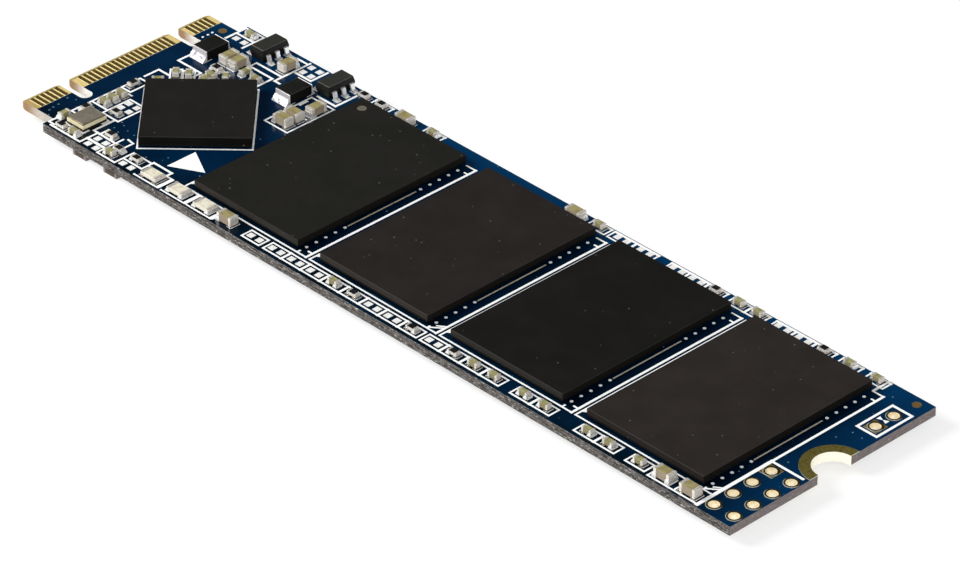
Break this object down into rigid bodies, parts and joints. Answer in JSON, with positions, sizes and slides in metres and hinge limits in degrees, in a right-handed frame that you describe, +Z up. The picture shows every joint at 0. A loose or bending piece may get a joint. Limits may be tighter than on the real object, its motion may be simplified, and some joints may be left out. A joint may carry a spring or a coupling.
{
  "type": "gumstick solid state drive",
  "caption": "Narrow blue solid state drive card with edge contacts, two key notches, a row of memory packages and a half-round screw notch.",
  "frame": {"origin": "under the middle of the card, on the surface that its underside capacitors rest on", "axes": "+X along the card towards the screw notch, +Y across it, +Z up from the populated face"},
  "size_m": [0.08, 0.022, 0.0028],
  "materials": {
    "solder_mask": "deep blue solder mask over copper and glass laminate, satin gloss; bare laminate at the cut edges",
    "gold_plating": "gold plating, worn satin",
    "bare_copper": "bare plated copper, dull",
    "tinned_pads": "tinned, bright",
    "white_print": "white printed ink, matt",
    "solder": "reflowed solder, bright",
    "package_mould": "black moulding compound, matt",
    "package_substrate": "dark laminate, matt",
    "inductor_ferrite": "black ferrite, matt",
    "regulator_mould": "black moulding compound, satin",
    "lead_metal": "tin plating, bright",
    "crystal_ceramic": "dark ceramic",
    "crystal_gold": "gold plating, polished",
    "crystal_lid_metal": "nickel lid, satin",
    "large_capacitor_ceramic": "khaki ceramic, satin",
    "small_capacitor_ceramic": "olive ceramic, satin",
    "underside_capacitor_ceramic": "brown ceramic, satin",
    "chip_end_metal": "tinned chip end, satin",
    "resistor_ceramic": "white alumina",
    "resistor_glaze": "black glaze",
    "lamp_resin": "pale cream resin"
  },
  "bodies": {
    "root": {"ball_row_lines": "bare_copper", "board_header_eyelets": "gold_plating", "board_jumper_eyelets": "gold_plating", "board_screw_land": "gold_plating", "circuit_board": "solder_mask", "controller_balls": "solder", "controller_mould": "package_mould", "controller_substrate": "package_substrate", "crystal_base": "crystal_ceramic", "crystal_can": "crystal_gold", "crystal_lid": "crystal_lid_metal", "edge_contacts_bottom": "gold_plating", "edge_contacts_top": "gold_plating", "fiducial_discs": "bare_copper", "flash_balls": "solder", "flash_mould_1": "package_mould", "flash_mould_2": "package_mould", "flash_mould_3": "package_mould", "flash_mould_4": "package_mould", "flash_substrate_1": "package_substrate", "flash_substrate_2": "package_substrate", "flash_substrate_3": "package_substrate", "flash_substrate_4": "package_substrate", "inductor_core_1": "inductor_ferrite", "inductor_core_2": "inductor_ferrite", "inductor_ends": "chip_end_metal", "inductor_solder": "solder", "lamp_bodies": "lamp_resin", "lamp_ends": "chip_end_metal", "large_capacitor_bodies": "large_capacitor_ceramic", "large_capacitor_ends": "chip_end_metal", "regulator_body_1": "regulator_mould", "regulator_body_2": "regulator_mould", "regulator_leads_1": "lead_metal", "regulator_leads_2": "lead_metal", "resistor_bodies": "resistor_ceramic", "resistor_coats": "resistor_glaze", "resistor_ends": "chip_end_metal", "silkscreen_bottom": "white_print", "silkscreen_top": "white_print", "small_capacitor_bodies": "small_capacitor_ceramic", "small_capacitor_ends": "chip_end_metal", "solder_pads_bottom": "tinned_pads", "solder_pads_top": "tinned_pads", "underside_capacitor_bodies": "underside_capacitor_ceramic", "underside_capacitor_ends": "chip_end_metal", "via_caps": "tinned_pads"}
  },
  "joints": []
}
